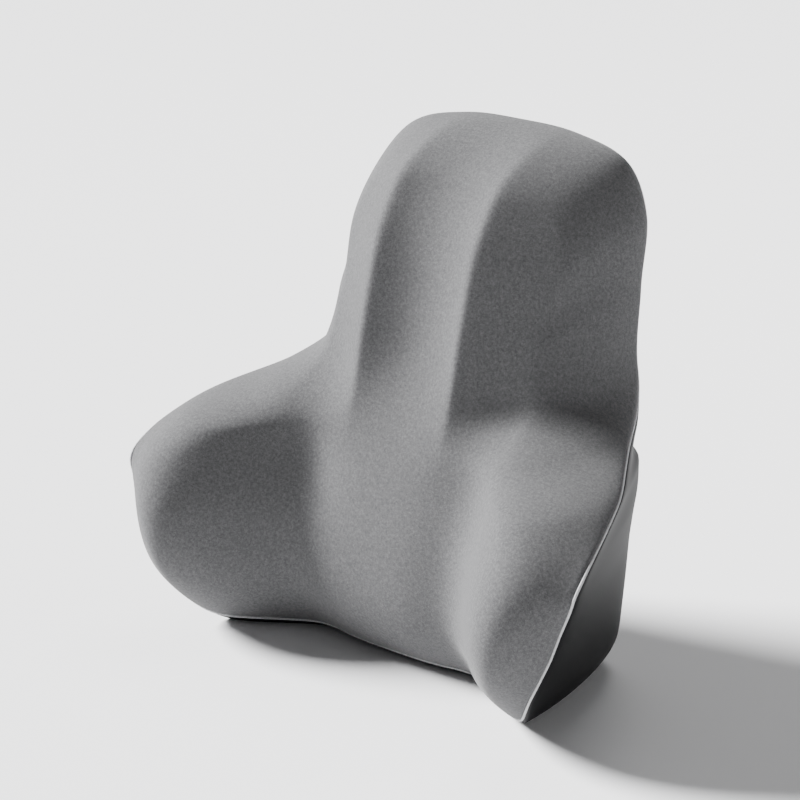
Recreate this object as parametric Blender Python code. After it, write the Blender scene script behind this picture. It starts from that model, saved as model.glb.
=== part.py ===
"""Lumbar support cushion: a moulded foam core in a zipped two-part cover, with a rear buckle strap.

Metres, +Z up. The cushion's front faces -Y and it stands on Z = 0, centred on the origin.
"""
import math

import bmesh
import bpy
import numpy as np

# overall shape
width = 0.453
height = 0.411
lean = 0.157
pole_height = 0.165
base_sink = 0.0137
set_back = 0.0431

# upper lobe
lobe_width = 0.2634
lobe_base_height = 0.2364
crest_offset = 0.0475
flank_slope = 0.56
crest_softness = 0.01
groove_depth = 0.016
lobe_edge_radius = 0.0373
lobe_rear_radius = 0.020

# lower wings
wing_height = 0.1436
wing_forward = 0.0743
wing_offset = 0.180
wing_centre_height = 0.103
wing_spread = 0.0486
wing_rise = 0.103
wing_edge_radius = 0.065
wing_seam_depth = 0.143
wing_rear_radius = 0.068
tip_band = (0.08, 0.20)
foot_radius = 0.0268
valley_depth = 0.012
valley_offset = 0.085
valley_spread = 0.035
base_edge_radius = 0.034

# heights over which one shape gives way to the next
groove_band = (0.17, 0.26)
flank_band = (0.15, 0.24)
curl_band = (0.13, 0.27)
rim_band = (0.13, 0.24)
seam_band = (0.13, 0.25)
foot_band = (0.02, 0.10)
base_band = (0.0, 0.07)
base_side_band = (0.10, 0.19)

# rear panel
rear_offset = 0.0277
rear_rim_set = 0.0150
flat_half_width = 0.129
rear_curl = 2.106
seam_height = 0.005
seam_inset = 0.2
curl_softness = 0.03

# layers, from the outside inwards
gap = 0.0003
cover_thickness = 0.0024
liner_slack = 0.0006
liner_thickness = 0.0006
piping_radius = 0.0012
piping_room = 0.0012
liner_slit = (0.190, 0.003)

# zip
zip_height = 0.062
zip_length = 0.216
zip_slot_half = 0.0072
tape_thickness = 0.0008
tape_inner = 0.0023
tooth_pitch = 0.005
tooth_width = 0.0018
tooth_reach = 0.0006
chain_spine = (0.0009, 0.0020)
chain_thickness = 0.0018
slider_length = 0.010
slider_half_width = 0.0045
slider_plate = 0.0011
slider_under = 0.0005
slider_nose = 0.0035
slider_core = 0.0008
stop_length = 0.003
pull_length = 0.030
pull_window_length = 0.014
pull_half_width = 0.0032
pull_thickness = 0.0012
bail_half_width = 0.0009
bail_length = 0.007
bail_wall = 0.001
bail_sink = 0.0004
bail_room = 0.00105
stop_margin = 0.0035
stop_gap = 0.0005

# strap and buckle
strap_height = 0.262
strap_width = 0.025
strap_thickness = 0.0012
strap_lift = 0.0019
patch_inner = 0.062
patch_length = 0.030
patch_margin = 0.005
tail_end = -0.056
tail_rise = 0.0004
buckle_base = 0.0006
buckle_thickness = 0.009
buckle_half_width = 0.017
socket_span = (0.016, 0.054)
plug_left = -0.012
bar_depth = 0.003
bar_thickness = 0.0027
socket_wall = 0.0016
cavity_half_width = 0.013
mouth_gap = 0.0005
arm_pivot = (0.0185, 0.0095)
arm_half_thickness = 0.0015
arm_reach = 0.0215
arm_bulge = 0.0052
keeper_centre = -0.040
keeper_length = 0.007
keeper_wall = 0.0012

column_count = 48
fine_columns = 8
fine_rows = 240
front_rows = (0.0, 0.14, 0.28, 0.42, 0.55, 0.67, 0.78, 0.87, 0.94)
rear_fractions = (0.38, 0.7, 1.0)
rear_corner = 1.26
rear_rows = (1.40, 1.58, 1.79)
seam_neighbours = (-1, 1)
longest_step = 1.35


def clearScene():
    for item in list(bpy.data.objects):
        bpy.data.objects.remove(item, do_unlink=True)


def material(name, colour, roughness, metallic=0.0):
    made = bpy.data.materials.get(name) or bpy.data.materials.new(name)
    made.use_nodes = True
    shader = made.node_tree.nodes["Principled BSDF"]
    shader.inputs["Base Color"].default_value = (*colour, 1.0)
    shader.inputs["Roughness"].default_value = roughness
    shader.inputs["Metallic"].default_value = metallic
    made.diffuse_color = (*colour, 1.0)
    return made


def velour():
    return material("grey_velour", (0.33, 0.33, 0.34), 0.95)


def rearKnit():
    return material("black_rear_knit", (0.012, 0.012, 0.014), 0.75)


def pipingCord():
    return material("grey_piping", (0.42, 0.42, 0.43), 0.8)


def foam():
    return material("memory_foam", (0.80, 0.76, 0.62), 0.95)


def linerKnit():
    return material("white_liner_knit", (0.75, 0.75, 0.75), 0.9)


def zipTape():
    return material("black_zip_tape", (0.015, 0.015, 0.016), 0.85)


def zipNylon():
    return material("black_zip_nylon", (0.02, 0.02, 0.02), 0.45)


def zipMetal():
    return material("gunmetal_zip", (0.16, 0.16, 0.17), 0.35, 1.0)


def webbing():
    return material("black_webbing", (0.014, 0.014, 0.015), 0.8)


def bucklePlastic():
    return material("black_acetal", (0.018, 0.018, 0.019), 0.4)


def smooth(low, high, value):
    t = np.clip((value - low) / (high - low), 0.0, 1.0)
    return t * t * (3.0 - 2.0 * t)


def curveThrough(points, samples):
    """A smooth curve through a closed loop of points, sampled evenly along its length."""
    points = np.array(points, float)
    behind = points - np.roll(points, 1, axis=0)
    ahead = np.roll(points, -1, axis=0) - points
    step_in = np.sqrt(np.linalg.norm(behind, axis=1))[:, None]
    step_out = np.sqrt(np.linalg.norm(ahead, axis=1))[:, None]
    speed = (behind / step_in * step_out + ahead / step_out * step_in) / (step_in + step_out)
    t = np.linspace(0.0, 1.0, 60, endpoint=False)[:, None, None]
    dense = points + t**2 * (3 - 2 * t) * ahead
    dense = dense + t * (1 - t) ** 2 * speed * step_out
    dense = dense - t**2 * (1 - t) * np.roll(speed, -1, axis=0) * step_out
    dense = dense.transpose(1, 0, 2).reshape(-1, 2)
    closed = np.vstack([dense, dense[:1]])
    length = np.r_[0.0, np.cumsum(np.linalg.norm(np.diff(closed, axis=0), axis=1))]
    even = np.linspace(0.0, length[-1], samples, endpoint=False)
    return np.column_stack([np.interp(even, length, closed[:, axis]) for axis in (0, 1)])


def outline(samples):
    """The cushion's front outline in X and Z, from the middle of its base and round by +X."""
    half = width / 2
    lobe = lobe_width / 2
    shoulder = height - lobe_base_height
    right = [
        (0.0, -base_sink),
        (0.27 * half, -base_sink),
        (0.53 * half, -base_sink + 0.001),
        (0.70 * half, 0.022 * wing_height),
        (0.84 * half, 0.316 * wing_height),
        (0.94 * half, 0.68 * wing_height),
        (1.00 * half, wing_height),
        (0.92 * half, wing_height + 0.351 * (lobe_base_height - wing_height)),
        (0.72 * half, wing_height + 0.651 * (lobe_base_height - wing_height)),
        (lobe + 0.007, lobe_base_height),
        (lobe, lobe_base_height + 0.36 * shoulder),
        (0.975 * lobe, lobe_base_height + 0.69 * shoulder),
        (0.80 * lobe, lobe_base_height + 0.90 * shoulder),
        (0.42 * lobe, lobe_base_height + 0.985 * shoulder),
        (0.0, height),
    ]
    left = [(-x, z) for x, z in right[-2:0:-1]]
    return curveThrough(right + left, samples)


def centreDepth(z):
    """How far the front face stands forward along the middle of the cushion."""
    heights = np.array([0.0, 0.12, 0.25, 0.40, 0.54, 0.69, 0.84, 0.97, 1.05]) * height
    depths = np.array([-0.081, -0.106, -0.106, -0.086, -0.069, -0.055, -0.035, 0.004, 0.034])
    slopes = np.gradient(depths, heights)
    z = np.clip(z, heights[0], heights[-1])
    span = np.clip(np.searchsorted(heights, z) - 1, 0, len(heights) - 2)
    run = heights[span + 1] - heights[span]
    t = (z - heights[span]) / run
    return ((2 * t**3 - 3 * t**2 + 1) * depths[span] + (t**3 - 2 * t**2 + t) * run * slopes[span]
            + (3 * t**2 - 2 * t**3) * depths[span + 1] + (t**3 - t**2) * run * slopes[span + 1])


def lobeShare(z):
    return smooth(wing_height, lobe_base_height + 0.015, z)


def frontFace(x, z):
    side = np.abs(x)
    low = 1.0 - lobeShare(z)
    groove = groove_depth * smooth(*groove_band, z)
    groove = groove * (0.5 + 0.5 * np.cos(math.pi * np.clip(side / crest_offset, 0, 1)))
    past = np.clip(side - crest_offset, 0, None)
    flank = smooth(*flank_band, z) * flank_slope * (np.sqrt(past**2 + crest_softness**2) - crest_softness)
    across = (side - wing_offset) / wing_spread
    up = (z - wing_centre_height) / wing_rise
    wing = wing_forward * np.exp(-(across**2 + up**2) / 2)
    valley = valley_depth * np.exp(-(((side - valley_offset) / valley_spread) ** 2)) * low
    return centreDepth(z) + groove + flank - wing + valley


def rearFace(x, z):
    past = np.clip(np.abs(x) - flat_half_width, 0, None)
    curl = rear_curl * (np.sqrt(past**2 + curl_softness**2) - curl_softness) * (1.0 - smooth(*curl_band, z))
    return rear_offset + lean * z - curl


def rimDepth(x, z):
    lobe = lean * z + rear_offset - rear_rim_set
    side = smooth(*tip_band, np.abs(x))
    wing = -wing_seam_depth * side + (rear_offset - 0.05) * (1.0 - side)
    share = smooth(*rim_band, z)
    return lobe * share + wing * (1.0 - share)


def edgeRadius(x, z, is_front):
    share = lobeShare(z)
    front = wing_edge_radius + (lobe_edge_radius - wing_edge_radius) * share
    rear = wing_rear_radius + (lobe_rear_radius - wing_rear_radius) * share
    base = (1.0 - smooth(*base_band, z)) * (1.0 - smooth(*base_side_band, np.abs(x)))
    front = front + (base_edge_radius - front) * base
    rear = rear + (foot_radius - rear) * (1.0 - smooth(*foot_band, z))
    return np.where(is_front, front, rear)


def body():
    """Points of the outer skin, one row for each meridian.

    A meridian runs from the middle of the front (turn 0) over the rim (turn 1) to the middle
    of the rear (turn 2).
    """
    rim = outline(column_count * fine_columns)
    centre = np.array([0.0, pole_height])
    turn = np.linspace(0.0, 2.0, fine_rows + 1)
    share = np.sin(turn * math.pi / 2)
    reach = rim - centre
    tangent = np.roll(rim, -1, axis=0) - np.roll(rim, 1, axis=0)
    across = np.column_stack([tangent[:, 1], -tangent[:, 0]])
    across /= np.linalg.norm(across, axis=1)[:, None]
    clear = np.abs((reach * across).sum(axis=1))
    x = centre[0] + reach[:, :1] * share
    z = centre[1] + reach[:, 1:] * share
    is_front = turn < 1.0
    inset = np.clip(clear[:, None] * (1.0 - share) / edgeRadius(rim[:, :1], rim[:, 1:], is_front), 0, 1)
    round_share = np.sqrt(np.clip(1.0 - (1.0 - inset) ** 2, 0, 1))
    rim_y = rimDepth(rim[:, :1], rim[:, 1:])
    face = np.where(is_front, frontFace(x, z), rearFace(x, z))
    y = set_back + rim_y + (face - rim_y) * round_share
    points = np.stack([x, y, np.maximum(z, 0.0)], axis=-1)
    return turn, points[::fine_columns], rim[::fine_columns], clear[::fine_columns]


def seamTurn(rim, clear):
    """Where each meridian meets the seam: just above the floor along the base, and behind the lobe's rim."""
    want = seam_height - rim[:, 1]
    drop = 0.5 * (want + np.sqrt(want**2 + 0.006**2)) * (1.0 - smooth(0.03, 0.08, rim[:, 1]))
    share = 1.0 - drop / (pole_height - np.minimum(rim[:, 1], pole_height - 0.05))
    low = np.arcsin(np.clip(share, 0, 1)) * 2 / math.pi
    behind = 2.0 - np.arcsin(1.0 - seam_inset * lobe_rear_radius / clear) * 2 / math.pi
    return low + (behind - 1.0) * smooth(*seam_band, rim[:, 1])


class Grid:
    """Rows of points round the cushion, cut into triangles, with the way inwards at each point."""

    def __init__(self, points):
        self.points = points
        rows, count = points.shape[:2]
        index = np.arange(rows * count).reshape(rows, count)
        index[0] = index[0, 0]
        index[-1] = index[-1, 0]
        ahead = np.roll(index, -1, axis=1)
        place = points.reshape(-1, 3)
        low, high, low_next, high_next = index[:-1], index[1:], ahead[:-1], ahead[1:]
        one_way = np.linalg.norm(place[low] - place[high_next], axis=-1)
        other_way = np.linalg.norm(place[high] - place[low_next], axis=-1)
        self.turned = one_way > other_way
        turned = self.turned[..., None]
        first = np.where(turned, np.stack([low, high, low_next], -1), np.stack([low, high, high_next], -1))
        second = np.where(turned, np.stack([high, high_next, low_next], -1),
                          np.stack([low, high_next, low_next], -1))
        faces = np.concatenate([first.reshape(-1, 3), second.reshape(-1, 3)])
        self.inwards = self.evenSteps(place, faces).reshape(rows, count, 3)
        self.inwards[[0, -1]] = self.inwards[[0, -1]][:, :1]

    def evenSteps(self, place, faces):
        """For each point, the step that moves every face around it inwards by one unit."""
        facing = np.cross(place[faces[:, 1]] - place[faces[:, 0]], place[faces[:, 2]] - place[faces[:, 0]])
        size = np.linalg.norm(facing, axis=1)
        real = size > 1e-12
        faces = faces[real]
        facing = facing[real] / size[real, None]
        matrix = np.tile(0.05 * np.eye(3), (len(place), 1, 1))
        total = np.zeros((len(place), 3))
        for corner in range(3):
            np.add.at(matrix, faces[:, corner], facing[:, :, None] * facing[:, None, :])
            np.add.at(total, faces[:, corner], facing)
        mean = total / (np.linalg.norm(total, axis=1, keepdims=True) + 1e-12)
        steps = np.linalg.solve(matrix, (total + 0.05 * mean)[..., None])[..., 0]
        steps /= np.maximum(1.0, np.linalg.norm(steps, axis=1, keepdims=True) / longest_step)
        return steps if steps[0, 1] > 0 else -steps

    def layer(self, depth, first=0, last=None):
        """Rows first to last of the grid, moved inwards by depth."""
        last = len(self.points) - 1 if last is None else last
        return (self.points + self.inwards * depth)[first:last + 1]


class Skin:
    """The outer skin cut into rows, with the seam as one of them."""

    def __init__(self):
        turn, points, rim, clear = body()
        self.count = len(points)
        seam = seamTurn(rim, clear)
        step = np.linalg.norm(np.diff(points, axis=1), axis=2)
        length = np.concatenate([np.zeros((self.count, 1)), np.cumsum(step, axis=1)], axis=1)
        at_seam = self.sample(turn, points, seam)
        ahead = np.roll(at_seam, -1, axis=0) - at_seam
        behind = at_seam - np.roll(at_seam, 1, axis=0)
        self.tangent = ahead / np.linalg.norm(ahead, axis=1)[:, None]
        self.tangent += behind / np.linalg.norm(behind, axis=1)[:, None]
        self.tangent /= np.linalg.norm(self.tangent, axis=1)[:, None]
        meridian = self.sample(turn, points, seam + 0.02) - self.sample(turn, points, seam - 0.02)
        meridian /= np.linalg.norm(meridian, axis=1)[:, None]
        slant = np.linalg.norm(np.cross(meridian, self.tangent), axis=1)
        reach = (piping_radius + piping_room) / slant
        where = np.array([np.interp(seam[i], turn, length[i]) for i in range(self.count)])
        front_edge = np.array([np.interp(where[i] - reach[i], length[i], turn) for i in range(self.count)])
        rear_edge = np.array([np.interp(where[i] + reach[i], length[i], turn) for i in range(self.count)])
        turns = [front_edge * share for share in front_rows] + [front_edge, seam, rear_edge]
        turns += [rear_edge + (rear_corner - rear_edge) * share for share in rear_fractions]
        turns += [np.full(self.count, row) for row in rear_rows + (2.0,)]
        self.seam_row = len(front_rows) + 1
        rows = np.stack([self.sample(turn, points, row) for row in turns])
        rows[[0, -1]] = rows[[0, -1]][:, :1]
        self.outer = Grid(rows)
        self.inner = Grid(np.delete(rows, self.seam_row + np.array(seam_neighbours), axis=0))

    def sample(self, turn, values, where):
        return np.array([
            [np.interp(where[i], turn, values[i, :, axis]) for axis in range(3)]
            for i in range(self.count)
        ])


def addMesh(name, bm, finish, parent=None):
    bmesh.ops.recalc_face_normals(bm, faces=bm.faces)
    mesh = bpy.data.meshes.new(name)
    bm.to_mesh(mesh)
    bm.free()
    made = bpy.data.objects.new(name, mesh)
    bpy.context.collection.objects.link(made)
    made.data.materials.append(finish)
    made.parent = parent
    return made


def addGrid(bm, rows, turned, pole_start=False, pole_end=False):
    """Faces of one layer; a pole row is a single vertex. Returns the layer's vertex rows."""
    count = rows.shape[1]
    made = []
    for index, row in enumerate(rows):
        is_pole = (pole_start and index == 0) or (pole_end and index == len(rows) - 1)
        made.append([bm.verts.new(row[0])] if is_pole else [bm.verts.new(point) for point in row])
    for low, high, other_way in zip(made, made[1:], turned):
        for i in range(count):
            j = (i + 1) % count
            if len(low) == 1:
                bm.faces.new((low[0], high[i], high[j]))
            elif len(high) == 1:
                bm.faces.new((low[i], high[0], low[j]))
            elif other_way[i]:
                bm.faces.new((low[i], high[i], low[j]))
                bm.faces.new((high[i], high[j], low[j]))
            else:
                bm.faces.new((low[i], high[i], high[j]))
                bm.faces.new((low[i], high[j], low[j]))
    return made


def bridgeRows(bm, low, high):
    for i in range(len(low)):
        j = (i + 1) % len(low)
        bm.faces.new((low[i], high[i], high[j]))
        bm.faces.new((low[i], high[j], low[j]))


def closedLayer(name, grid, depth, finish):
    bm = bmesh.new()
    addGrid(bm, grid.layer(depth), grid.turned, True, True)
    return addMesh(name, bm, finish)


def buildFoam(skin):
    depth = cover_thickness + liner_slack + liner_thickness + liner_slack
    closedLayer("foam_core", skin.inner, depth, foam())


def buildLiner(skin, panel):
    outer = cover_thickness + liner_slack
    inner = outer + liner_thickness
    made = closedLayer("inner_liner", skin.inner, outer, linerKnit())
    cut(made, closedLayer("liner_inside", skin.inner, inner, linerKnit()))
    slit = box("liner_slit", (-liner_slit[0] / 2, liner_slit[0] / 2), (-inner - 0.001, -outer + 0.001),
               (-liner_slit[1] / 2, liner_slit[1] / 2), linerKnit(), panel)
    cut(made, slit)


def buildCover(name, grid, finish, first, last, is_front):
    bm = bmesh.new()
    turned = grid.turned[first:last]
    outer = addGrid(bm, grid.layer(0.0, first, last), turned, is_front, not is_front)
    inner = addGrid(bm, grid.layer(cover_thickness, first, last), turned, is_front, not is_front)
    edge = -1 if is_front else 0
    bridgeRows(bm, outer[edge], inner[edge])
    return addMesh(name, bm, finish)


def buildPiping(skin, sides=6):
    row = skin.seam_row
    bm = bmesh.new()
    rings = []
    for point, inwards, tangent in zip(skin.outer.points[row], skin.outer.inwards[row], skin.tangent):
        out = tangent * (inwards @ tangent) - inwards
        out /= np.linalg.norm(out)
        across = np.cross(tangent, out)
        centre = point - out * piping_radius / 2
        turns = [math.tau * k / sides for k in range(sides)]
        ring = [centre + piping_radius * (math.cos(a) * out + math.sin(a) * across) for a in turns]
        rings.append([bm.verts.new(spot) for spot in ring])
    for low, high in zip(rings, rings[1:] + rings[:1]):
        bridgeRows(bm, low, high)
    made = addMesh("seam_piping", bm, pipingCord())
    made.data.shade_smooth()
    return made


def box(name, x, y, z, finish, parent=None):
    bm = bmesh.new()
    corners = [bm.verts.new((a, b, c)) for a in x for b in y for c in z]
    for face in ((0, 1, 3, 2), (4, 6, 7, 5), (0, 4, 5, 1), (2, 3, 7, 6), (0, 2, 6, 4), (1, 5, 7, 3)):
        bm.faces.new([corners[k] for k in face])
    return addMesh(name, bm, finish, parent)


def boolean(made, tool, operation):
    tool.hide_render = True
    tool.display_type = "WIRE"
    change = made.modifiers.new(tool.name, "BOOLEAN")
    change.operation = operation
    change.object = tool
    change.solver = "EXACT"


def cut(made, tool):
    boolean(made, tool, "DIFFERENCE")


def join(made, tool):
    boolean(made, tool, "UNION")


def extrude(name, outline_points, plane, low, high, finish, parent):
    """A prism from an outline in two of the axes, low to high along the third."""
    axes = {"xz": (0, 2, 1), "xy": (0, 1, 2)}[plane]
    bm = bmesh.new()
    ends = []
    for level in (low, high):
        ring = []
        for a, b in outline_points:
            spot = [0.0, 0.0, 0.0]
            spot[axes[0]], spot[axes[1]], spot[axes[2]] = a, b, level
            ring.append(bm.verts.new(spot))
        ends.append(ring)
    for i in range(len(outline_points)):
        j = (i + 1) % len(outline_points)
        bm.faces.new((ends[0][i], ends[0][j], ends[1][j], ends[1][i]))
    for ring in ends:
        bm.faces.new(ring)
    bmesh.ops.triangulate(bm, faces=[face for face in bm.faces if len(face.verts) > 4])
    return addMesh(name, bm, finish, parent)


def ribbon(path, thickness):
    """The outline of a band of even thickness along a path of points."""
    path = np.array(path, float)
    ahead = np.diff(path, axis=0)
    ahead /= np.linalg.norm(ahead, axis=1)[:, None]
    before = np.vstack([ahead[:1], ahead])
    after = np.vstack([ahead, ahead[-1:]])
    side = np.column_stack([-(before + after)[:, 1], (before + after)[:, 0]])
    side /= (1.0 + (before * after).sum(axis=1))[:, None]
    left = path + side * thickness / 2
    right = path - side * thickness / 2
    return [tuple(point) for point in left] + [tuple(point) for point in right[::-1]]


def panelFrame(name, z):
    """An empty on the rear panel: X along it, Y out of it, Z up it."""
    made = bpy.data.objects.new(name, None)
    bpy.context.collection.objects.link(made)
    made.location = (0.0, set_back + rear_offset + lean * z, z)
    made.rotation_euler = (-math.atan(lean), 0.0, 0.0)
    return made


def pivotFrame(name, x, y, z, parent):
    made = bpy.data.objects.new(name, None)
    bpy.context.collection.objects.link(made)
    made.parent = parent
    made.location = (x, y, z)
    return made


def buildComb(name, sign, start, end, depth, frame):
    """One side of the zip's chain: a spine whose teeth reach past the middle."""
    inner, outer = chain_spine
    place = start + tooth_pitch * (0.5 if sign > 0 else 1.0)
    stations = [start]
    while place + tooth_width / 2 < end - 0.0005:
        stations += [place - tooth_width / 2, place + tooth_width / 2]
        place += tooth_pitch
    stations.append(end)
    bm = bmesh.new()
    spine = [[bm.verts.new((x, depth[0], sign * z)) for z in (outer, inner)] for x in stations]
    flat = [bm.faces.new((a[0], a[1], b[1], b[0])) for a, b in zip(spine, spine[1:])]
    for index in range(1, len(stations) - 1, 2):
        root = (spine[index][1], spine[index + 1][1])
        tip = [bm.verts.new((stations[index + k], depth[0], -sign * tooth_reach)) for k in (0, 1)]
        flat.append(bm.faces.new((root[0], tip[0], tip[1], root[1])))
    raised = bmesh.ops.extrude_face_region(bm, geom=flat)["geom"]
    moved = [item for item in raised if isinstance(item, bmesh.types.BMVert)]
    bmesh.ops.translate(bm, verts=moved, vec=(0.0, depth[1] - depth[0], 0.0))
    addMesh(name, bm, zipNylon(), frame)


def buildZip(frame):
    end = zip_length / 2
    tape_end = end - gap
    stop_end = end - stop_margin
    slider_end = stop_end - stop_length - stop_gap
    slider_start = slider_end - slider_length
    chain_start = -stop_end + stop_length + stop_gap
    chain_end = slider_start - 0.001
    chain_low = -cover_thickness + slider_under + gap
    chain_y = (chain_low, chain_low + chain_thickness)
    tape_y = (chain_low + gap, chain_low + gap + tape_thickness)
    for name, sign in (("upper", 1), ("lower", -1)):
        z = sorted((sign * tape_inner, sign * (zip_slot_half - gap)))
        box("zip_tape_" + name, (-tape_end, tape_end), tape_y, z, zipTape(), frame)
        buildComb("zip_chain_" + name, sign, chain_start, chain_end, chain_y, frame)
    spine = chain_spine[1]
    box("zip_end_stop", (-stop_end, -stop_end + stop_length), chain_y, (-spine, spine), zipMetal(), frame)
    for name, sign in (("upper", 1), ("lower", -1)):
        z = sorted((sign * chain_spine[0], sign * spine))
        box("zip_top_stop_" + name, (stop_end - stop_length, stop_end), chain_y, z, zipMetal(), frame)
    buildSlider(frame, slider_start, slider_end, chain_y)


def buildSlider(frame, start, end, chain_y):
    under = chain_y[0] - gap
    low = under - slider_under
    over = chain_y[1] + gap
    top = over + slider_plate
    side = (-slider_half_width, slider_half_width)
    made = box("zip_slider", (start, end), (low, top), side, zipMetal(), frame)
    throat = (start - 0.001, end - slider_nose)
    cut(made, box("slider_throat", throat, (under, over), (-0.01, 0.01), zipMetal(), frame))
    for sign in (-1, 1):
        z = sorted((sign * slider_core, sign * 0.01))
        cut(made, box("slider_side", (start - 0.001, end + 0.001), (under, over), z, zipMetal(), frame))
    middle = (start + end) / 2
    axis_y = top + bail_room
    inner_top = axis_y + bail_room
    foot = top - bail_sink
    left, right = middle - bail_length / 2, middle + bail_length / 2
    arch = [
        (left, foot), (left, inner_top + bail_wall), (right, inner_top + bail_wall), (right, foot),
        (right - bail_wall, foot), (right - bail_wall, inner_top), (left + bail_wall, inner_top),
        (left + bail_wall, foot),
    ]
    join(made, extrude("slider_bail", arch, "xy", -bail_half_width, bail_half_width, zipMetal(), frame))
    pivot = pivotFrame("zip_pull_axis", middle, axis_y, 0.0, frame)
    half_pull = pull_thickness / 2
    pull = box("zip_pull", (-pull_length, half_pull), (-half_pull, half_pull),
               (-pull_half_width, pull_half_width), zipMetal(), pivot)
    window = bail_half_width + 0.0009
    span = (-pull_window_length, -half_pull)
    cut(pull, box("pull_window", span, (-0.01, 0.01), (-window, window), zipMetal(), pivot))


def buildStraps(frame):
    half = strap_width / 2
    middle = strap_lift + strap_thickness / 2
    patch_y = (gap, strap_lift - gap)
    patch_z = (-half - patch_margin, half + patch_margin)
    for name, sign in (("left", -1), ("right", 1)):
        x = sorted((sign * patch_inner, sign * (patch_inner + patch_length)))
        box("strap_patch_" + name, x, patch_y, patch_z, webbing(), frame)
    anchor = patch_inner + patch_length - 0.003
    bar_middle = buckle_base + buckle_thickness / 2
    over = bar_middle + bar_thickness / 2 + 0.0003 + strap_thickness / 2
    tail = middle + strap_thickness + tail_rise
    slot = plug_left + bar_depth + 0.0025
    left_path = [
        (-anchor, middle), (slot, middle), (slot, over), (plug_left - 0.0015, over),
        (plug_left - 0.012, tail), (tail_end, tail),
    ]
    extrude("strap_left", ribbon(left_path, strap_thickness), "xy", -half, half, webbing(), frame)
    slot = socket_span[1] - bar_depth - 0.0025
    right_path = [
        (anchor, middle), (slot, middle), (slot, over), (socket_span[1] + 0.0015, over),
        (patch_inner + 0.005, tail), (anchor - 0.010, tail),
    ]
    extrude("strap_right", ribbon(right_path, strap_thickness), "xy", -half, half, webbing(), frame)
    buildBuckle(frame)
    buildKeeper(frame, tail + strap_thickness / 2)


def cutBar(made, frame, edge, inward):
    """A strap bar at a buckle's end: a slot through, and the bar thinned on both faces."""
    low = buckle_base
    high = buckle_base + buckle_thickness
    middle = (low + high) / 2
    half = strap_width / 2 + 0.0006
    finish = bucklePlastic()
    slot = sorted((edge + inward * bar_depth, edge + inward * (bar_depth + 0.005)))
    cut(made, box(made.name + "_slot", slot, (low - 0.001, high + 0.001), (-half, half), finish, frame))
    over = sorted((edge - inward * 0.001, edge + inward * (bar_depth + 0.001)))
    above = (middle + bar_thickness / 2, high + 0.001)
    below = (low - 0.001, middle - bar_thickness / 2)
    cut(made, box(made.name + "_over", over, above, (-half, half), finish, frame))
    cut(made, box(made.name + "_under", over, below, (-half, half), finish, frame))


def buildBuckle(frame):
    low = buckle_base
    high = buckle_base + buckle_thickness
    finish = bucklePlastic()
    outer = (-buckle_half_width, buckle_half_width)
    start, end = socket_span
    socket = box("buckle_socket", (start, end), (low, high), outer, finish, frame)
    cavity_end = end - 0.0115
    cavity_y = (low + socket_wall, high - socket_wall)
    inner = (-cavity_half_width, cavity_half_width)
    cut(socket, box("socket_cavity", (start - 0.001, cavity_end), cavity_y, inner, finish, frame))
    window = (arm_pivot[0] + 0.002, arm_pivot[0] + arm_reach - 0.002)
    cut(socket, box("socket_windows", window, cavity_y, (-0.02, 0.02), finish, frame))
    cutBar(socket, frame, end, -1)
    plug = box("buckle_plug", (plug_left, start - mouth_gap), (low, high), outer, finish, frame)
    cutBar(plug, frame, plug_left, 1)
    tongue_y = (cavity_y[0] + 0.001, cavity_y[1] - 0.001)
    tongue = box("plug_tongue", (start - 0.002, cavity_end - 0.002), tongue_y, (-0.003, 0.003), finish, frame)
    join(plug, tongue)
    for name, sign in (("upper", 1), ("lower", -1)):
        buildArm("release_arm_" + name, frame, sign, (cavity_y[0] + gap, cavity_y[1] - gap))


def buildArm(name, frame, sign, depth):
    """A sprung finger of the plug, turning about an axis square to the rear panel."""
    pivot = pivotFrame(name + "_axis", arm_pivot[0], 0.0, sign * arm_pivot[1], frame)
    thick = arm_half_thickness
    root = -(arm_pivot[0] - socket_span[0]) + 0.0005
    shape = [
        (root, -thick), (arm_reach - 0.002, -thick), (arm_reach, 0.0), (arm_reach - 0.003, thick),
        (0.0155, thick + arm_bulge), (0.0065, thick + arm_bulge), (0.0025, thick), (root, thick),
    ]
    shape = [(x, sign * z) for x, z in shape]
    extrude(name, shape, "xz", depth[0], depth[1], bucklePlastic(), pivot)


def buildKeeper(frame, strap_top):
    half = strap_width / 2 + gap + keeper_wall
    x = (keeper_centre - keeper_length / 2, keeper_centre + keeper_length / 2)
    y = (strap_lift - gap - keeper_wall, strap_top + gap + keeper_wall)
    made = box("strap_keeper", x, y, (-half, half), bucklePlastic(), frame)
    inside = (y[0] + keeper_wall, y[1] - keeper_wall)
    hole = box("keeper_hole", (x[0] - 0.001, x[1] + 0.001), inside, (-half + keeper_wall, half - keeper_wall),
               bucklePlastic(), frame)
    cut(made, hole)


def main():
    clearScene()
    skin = Skin()
    zip_frame = panelFrame("zip_frame", zip_height)
    strap_frame = panelFrame("strap_frame", strap_height)
    last = len(skin.outer.points) - 1
    buildFoam(skin)
    buildLiner(skin, zip_frame)
    buildCover("front_cover", skin.outer, velour(), 0, skin.seam_row - 1, True)
    rear = buildCover("rear_cover", skin.outer, rearKnit(), skin.seam_row + 1, last, False)
    end = zip_length / 2
    slot = box("zip_slot", (-end, end), (-cover_thickness - 0.002, 0.002), (-zip_slot_half, zip_slot_half),
               rearKnit(), zip_frame)
    cut(rear, slot)
    buildPiping(skin)
    buildZip(zip_frame)
    buildStraps(strap_frame)


main()
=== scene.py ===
import math

import bmesh
import bpy
import numpy as np
from mathutils import Matrix, Vector


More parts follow.
